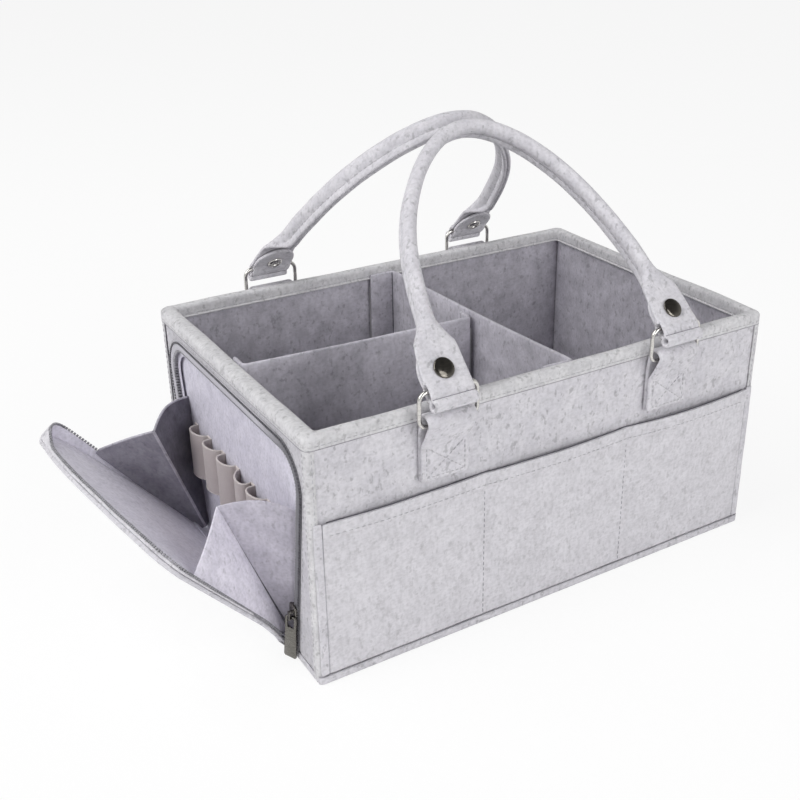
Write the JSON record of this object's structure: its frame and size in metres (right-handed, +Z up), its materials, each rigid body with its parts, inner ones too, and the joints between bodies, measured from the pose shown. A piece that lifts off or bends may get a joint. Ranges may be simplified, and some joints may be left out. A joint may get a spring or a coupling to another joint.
{
  "type": "felt diaper caddy",
  "caption": "Open felt storage box with strap handles on wire rings, lift-out dividers, open front pockets and a zipped fold-down end pocket with elastic loops.",
  "frame": {"origin": "centre of the base, on the surface that the caddy stands on", "axes": "+X along the length away from the zipped end, -Y out of the front pockets, +Z up"},
  "size_m": [0.4943, 0.2824, 0.3329],
  "materials": {
    "felt": "mottled needle felt, matt",
    "binding_felt": "felt edge binding, matt",
    "lining_felt": "thin smooth felt lining, matt",
    "inner_felt": "mottled needle felt, matt",
    "elastic": "woven elastic ribbon",
    "zip_tape": "woven tape",
    "zip_teeth": "coil zip chain, satin",
    "nickel": "polished nickel plate",
    "gunmetal": "dark plated metal, satin"
  },
  "bodies": {
    "box": {"base_panel": "felt", "front_wall": "felt", "back_wall": "felt", "right_wall": "felt", "left_wall": "felt", "end_border": "felt", "rim_binding": "binding_felt", "front_pocket_panel": "felt", "elastic_loops": "elastic", "wall_zip_tape": "zip_tape", "wall_zip_chain": "zip_teeth", "grip_strip_front": "zip_tape", "grip_strip_back": "zip_tape", "grip_strip_left": "zip_tape", "wall_tab_front_left": "felt", "wall_tab_front_right": "felt", "wall_tab_back_left": "felt", "wall_tab_back_right": "felt"},
    "front_rings": {"ring_front_left": "nickel", "ring_front_right": "nickel"},
    "back_rings": {"ring_back_left": "nickel", "ring_back_right": "nickel"},
    "front_grip": {"front_handle": "felt", "snap_cap_front_left": "nickel", "snap_cap_front_right": "nickel", "snap_socket_front_left": "nickel", "snap_socket_front_right": "nickel"},
    "back_grip": {"back_handle": "felt", "snap_cap_back_left": "nickel", "snap_cap_back_right": "nickel", "snap_socket_back_left": "nickel", "snap_socket_back_right": "nickel"},
    "flap": {"flap_panel": "felt", "flap_lining": "lining_felt", "flap_side_band": "felt", "flap_zip_chain": "zip_teeth"},
    "front_wall_gusset": {"gusset_front_wall": "lining_felt"},
    "front_flap_gusset": {"gusset_front_flap": "lining_felt"},
    "back_wall_gusset": {"gusset_back_wall": "lining_felt"},
    "back_flap_gusset": {"gusset_back_flap": "lining_felt"},
    "slider": {"zip_slider": "gunmetal"},
    "pull": {"zip_pull": "gunmetal"},
    "cross_partition": {"cross_divider": "inner_felt", "grip_strip_divider": "zip_tape"},
    "long_partition": {"long_divider": "inner_felt"}
  },
  "joints": [
    {"name": "front_ring_swing", "type": "hinge", "parent": "box", "child": "front_rings", "pos_m": [0, -0.1342, 0.1733], "axis": [1, 0, 0], "range_deg": [0, 60]},
    {"name": "back_ring_swing", "type": "hinge", "parent": "box", "child": "back_rings", "pos_m": [0, 0.1342, 0.1733], "axis": [-1, 0, 0], "range_deg": [0, 60]},
    {"name": "front_handle_swing", "type": "hinge", "parent": "front_rings", "child": "front_grip", "pos_m": [0, -0.1342, 0.1973], "axis": [1, 0, 0], "range_deg": [0, 110]},
    {"name": "back_handle_swing", "type": "hinge", "parent": "back_rings", "child": "back_grip", "pos_m": [0, 0.1342, 0.1973], "axis": [-1, 0, 0], "range_deg": [0, 110]},
    {"name": "flap_hinge", "type": "hinge", "parent": "box", "child": "flap", "pos_m": [-0.187, 0, 0.008], "axis": [0, 1, 0], "range_deg": [0, 33], "deforming": ["gusset_front_wall", "gusset_front_flap", "gusset_back_wall", "gusset_back_flap"]},
    {"name": "front_wall_gusset_fold", "type": "hinge", "parent": "box", "child": "front_wall_gusset", "pos_m": [-0.187, -0.07993, 0.008], "axis": [0, 0.1564, -0.9877], "range_deg": [0, 46.3]},
    {"name": "front_flap_gusset_fold", "type": "hinge", "parent": "flap", "child": "front_flap_gusset", "pos_m": [-0.187, -0.07993, 0.008], "axis": [-0.6282, -0.1564, 0.7621], "range_deg": [0, 46.3]},
    {"name": "back_wall_gusset_fold", "type": "hinge", "parent": "box", "child": "back_wall_gusset", "pos_m": [-0.187, 0.07993, 0.008], "axis": [0, 0.1564, 0.9877], "range_deg": [0, 46.3]},
    {"name": "back_flap_gusset_fold", "type": "hinge", "parent": "flap", "child": "back_flap_gusset", "pos_m": [-0.187, 0.07993, 0.008], "axis": [0.6282, -0.1564, -0.7621], "range_deg": [0, 46.3]},
    {"name": "zip_travel", "type": "slide", "parent": "box", "child": "slider", "axis": [0, -0.1564, 0.9877], "range_m": [0, 0.08]},
    {"name": "pull_swing", "type": "hinge", "parent": "slider", "child": "pull", "pos_m": [-0.1944, -0.09685, 0.03877], "axis": [0, 0.9877, 0.1564], "range_deg": [0, 80]},
    {"name": "cross_divider_lift", "type": "slide", "parent": "box", "child": "cross_partition", "axis": [0, 0, 1], "range_m": [0, 0.12]},
    {"name": "long_divider_lift", "type": "slide", "parent": "box", "child": "long_partition", "axis": [0, 0, 1], "range_m": [0, 0.12]}
  ],
  "couplings": [
    {"joint": "front_wall_gusset_fold", "follows": "flap_hinge", "ratio": 1.4},
    {"joint": "front_flap_gusset_fold", "follows": "flap_hinge", "ratio": 1.4},
    {"joint": "back_wall_gusset_fold", "follows": "flap_hinge", "ratio": 1.4},
    {"joint": "back_flap_gusset_fold", "follows": "flap_hinge", "ratio": 1.4}
  ]
}
